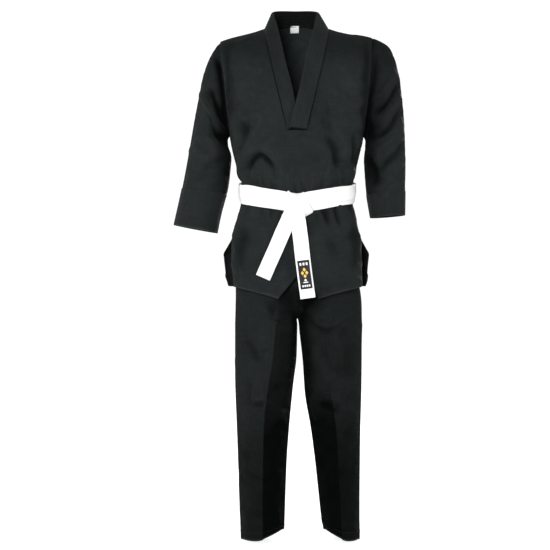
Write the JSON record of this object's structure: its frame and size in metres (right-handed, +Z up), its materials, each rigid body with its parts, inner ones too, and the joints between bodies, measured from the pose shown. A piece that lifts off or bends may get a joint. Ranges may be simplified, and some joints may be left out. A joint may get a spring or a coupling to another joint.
{
  "type": "martial arts uniform",
  "caption": "Martial arts uniform: V-neck jacket with stitched lapels and cuffs, tied flat belt, and creased elastic-waist trousers, shaped as worn with no wearer.",
  "frame": {"origin": "on the floor plane of the lowest trouser hem, under the middle of the uniform's width and depth", "axes": "+Z up along the body; the wearer faces -Y, so +X is the wearer's left"},
  "size_m": [0.6382, 0.2732, 1.4685],
  "materials": {
    "jacket_cloth": "black ribbed cotton-polyester twill, matt",
    "stitched_band": "black folded band held by parallel rows of stitching",
    "trouser_cloth": "black twill with pressed creases, matt",
    "belt_webbing": "white cotton belt, quilted with rows of stitching",
    "belt_label_cloth": "black woven label with a plain gold and white pattern",
    "neck_label_tape": "plain white woven tape",
    "elastic": "ribbed white elastic",
    "cord": "black braided cord"
  },
  "bodies": {
    "trousers": {"trouser_front_right": "trouser_cloth", "trouser_front_left": "trouser_cloth", "trouser_back_right": "trouser_cloth", "trouser_back_left": "trouser_cloth", "crotch_gusset": "trouser_cloth", "waistband_casing": "trouser_cloth", "waist_elastic": "elastic", "drawcord": "cord", "right_leg_top": "trouser_cloth", "left_leg_top": "trouser_cloth"},
    "jacket": {"front_right_panel": "jacket_cloth", "front_left_panel": "jacket_cloth", "back_panel": "jacket_cloth", "right_lapel_band": "stitched_band", "left_lapel_band": "stitched_band", "neck_label": "neck_label_tape", "right_sleeve_head": "jacket_cloth", "left_sleeve_head": "jacket_cloth", "belt_inner_wrap": "belt_webbing", "belt_outer_wrap": "belt_webbing", "belt_knot_outer_strand": "belt_webbing", "belt_knot_inner_strand": "belt_webbing"},
    "right_sleeve": {"right_sleeve_upper": "jacket_cloth", "right_sleeve_elbow": "jacket_cloth"},
    "left_sleeve": {"left_sleeve_upper": "jacket_cloth", "left_sleeve_elbow": "jacket_cloth"},
    "right_forearm": {"right_sleeve_lower": "jacket_cloth", "right_cuff": "stitched_band"},
    "left_forearm": {"left_sleeve_lower": "jacket_cloth", "left_cuff": "stitched_band"},
    "front_skirt": {"front_right_skirt": "jacket_cloth", "front_left_skirt": "jacket_cloth"},
    "back_skirt": {"back_skirt": "jacket_cloth"},
    "belt_right_end": {"belt_right_end": "belt_webbing"},
    "belt_left_end": {"belt_left_end": "belt_webbing", "belt_label": "belt_label_cloth"},
    "right_leg": {"right_thigh": "trouser_cloth", "right_knee": "trouser_cloth"},
    "left_leg": {"left_thigh": "trouser_cloth", "left_knee": "trouser_cloth"},
    "right_shin": {"right_shin": "trouser_cloth", "right_trouser_hem": "trouser_cloth"},
    "left_shin": {"left_shin": "trouser_cloth", "left_trouser_hem": "trouser_cloth"}
  },
  "joints": [
    {"name": "jacket_lift", "type": "slide", "parent": "trousers", "child": "jacket", "axis": [0, 0, 1], "range_m": [0, 0.3]},
    {"name": "right_shoulder", "type": "hinge", "parent": "jacket", "child": "right_sleeve", "pos_m": [-0.18713, 0.00363, 1.34022], "axis": [0, 1, 0], "range_deg": [0, 50], "deforming": ["right_sleeve_head"]},
    {"name": "left_shoulder", "type": "hinge", "parent": "jacket", "child": "left_sleeve", "pos_m": [0.22487, 0.00363, 1.34022], "axis": [0, -1, 0], "range_deg": [0, 50], "deforming": ["left_sleeve_head"]},
    {"name": "right_elbow", "type": "hinge", "parent": "right_sleeve", "child": "right_forearm", "pos_m": [-0.21912, 0.00363, 1.05322], "axis": [-0.9894, 0, 0.145], "range_deg": [0, 60], "deforming": ["right_sleeve_elbow"]},
    {"name": "left_elbow", "type": "hinge", "parent": "left_sleeve", "child": "left_forearm", "pos_m": [0.26188, 0.00363, 1.04722], "axis": [-0.9912, 0, -0.1327], "range_deg": [0, 60], "deforming": ["left_sleeve_elbow"]},
    {"name": "front_skirt_lift", "type": "hinge", "parent": "jacket", "child": "front_skirt", "pos_m": [0.01887, -0.11737, 0.83022], "axis": [-1, 0, 0], "range_deg": [0, 45]},
    {"name": "back_skirt_lift", "type": "hinge", "parent": "jacket", "child": "back_skirt", "pos_m": [0.01887, 0.12313, 0.83022], "axis": [1, 0, 0], "range_deg": [0, 40]},
    {"name": "belt_right_end_swing", "type": "hinge", "parent": "jacket", "child": "belt_right_end", "pos_m": [-0.00213, -0.13087, 0.88422], "axis": [-1, 0, 0], "range_deg": [0, 45]},
    {"name": "belt_left_end_swing", "type": "hinge", "parent": "jacket", "child": "belt_left_end", "pos_m": [0.02088, -0.13587, 0.88422], "axis": [-1, 0, 0], "range_deg": [0, 45]},
    {"name": "right_hip", "type": "hinge", "parent": "trousers", "child": "right_leg", "pos_m": [-0.06613, 0.00363, 0.64022], "axis": [-1, 0, 0], "range_deg": [-15, 40], "deforming": ["right_leg_top", "crotch_gusset"]},
    {"name": "left_hip", "type": "hinge", "parent": "trousers", "child": "left_leg", "pos_m": [0.11188, 0.00363, 0.64022], "axis": [-1, 0, 0], "range_deg": [-15, 40], "deforming": ["left_leg_top", "crotch_gusset"]},
    {"name": "right_knee_bend", "type": "hinge", "parent": "right_leg", "child": "right_shin", "pos_m": [-0.07312, 0.00363, 0.40022], "axis": [1, 0, 0], "range_deg": [0, 55], "deforming": ["right_knee"]},
    {"name": "left_knee_bend", "type": "hinge", "parent": "left_leg", "child": "left_shin", "pos_m": [0.11987, 0.00363, 0.40022], "axis": [1, 0, 0], "range_deg": [0, 55], "deforming": ["left_knee"]}
  ],
  "couplings": [
    {"joint": "belt_right_end_swing", "follows": "front_skirt_lift", "ratio": 1},
    {"joint": "belt_left_end_swing", "follows": "front_skirt_lift", "ratio": 1}
  ]
}
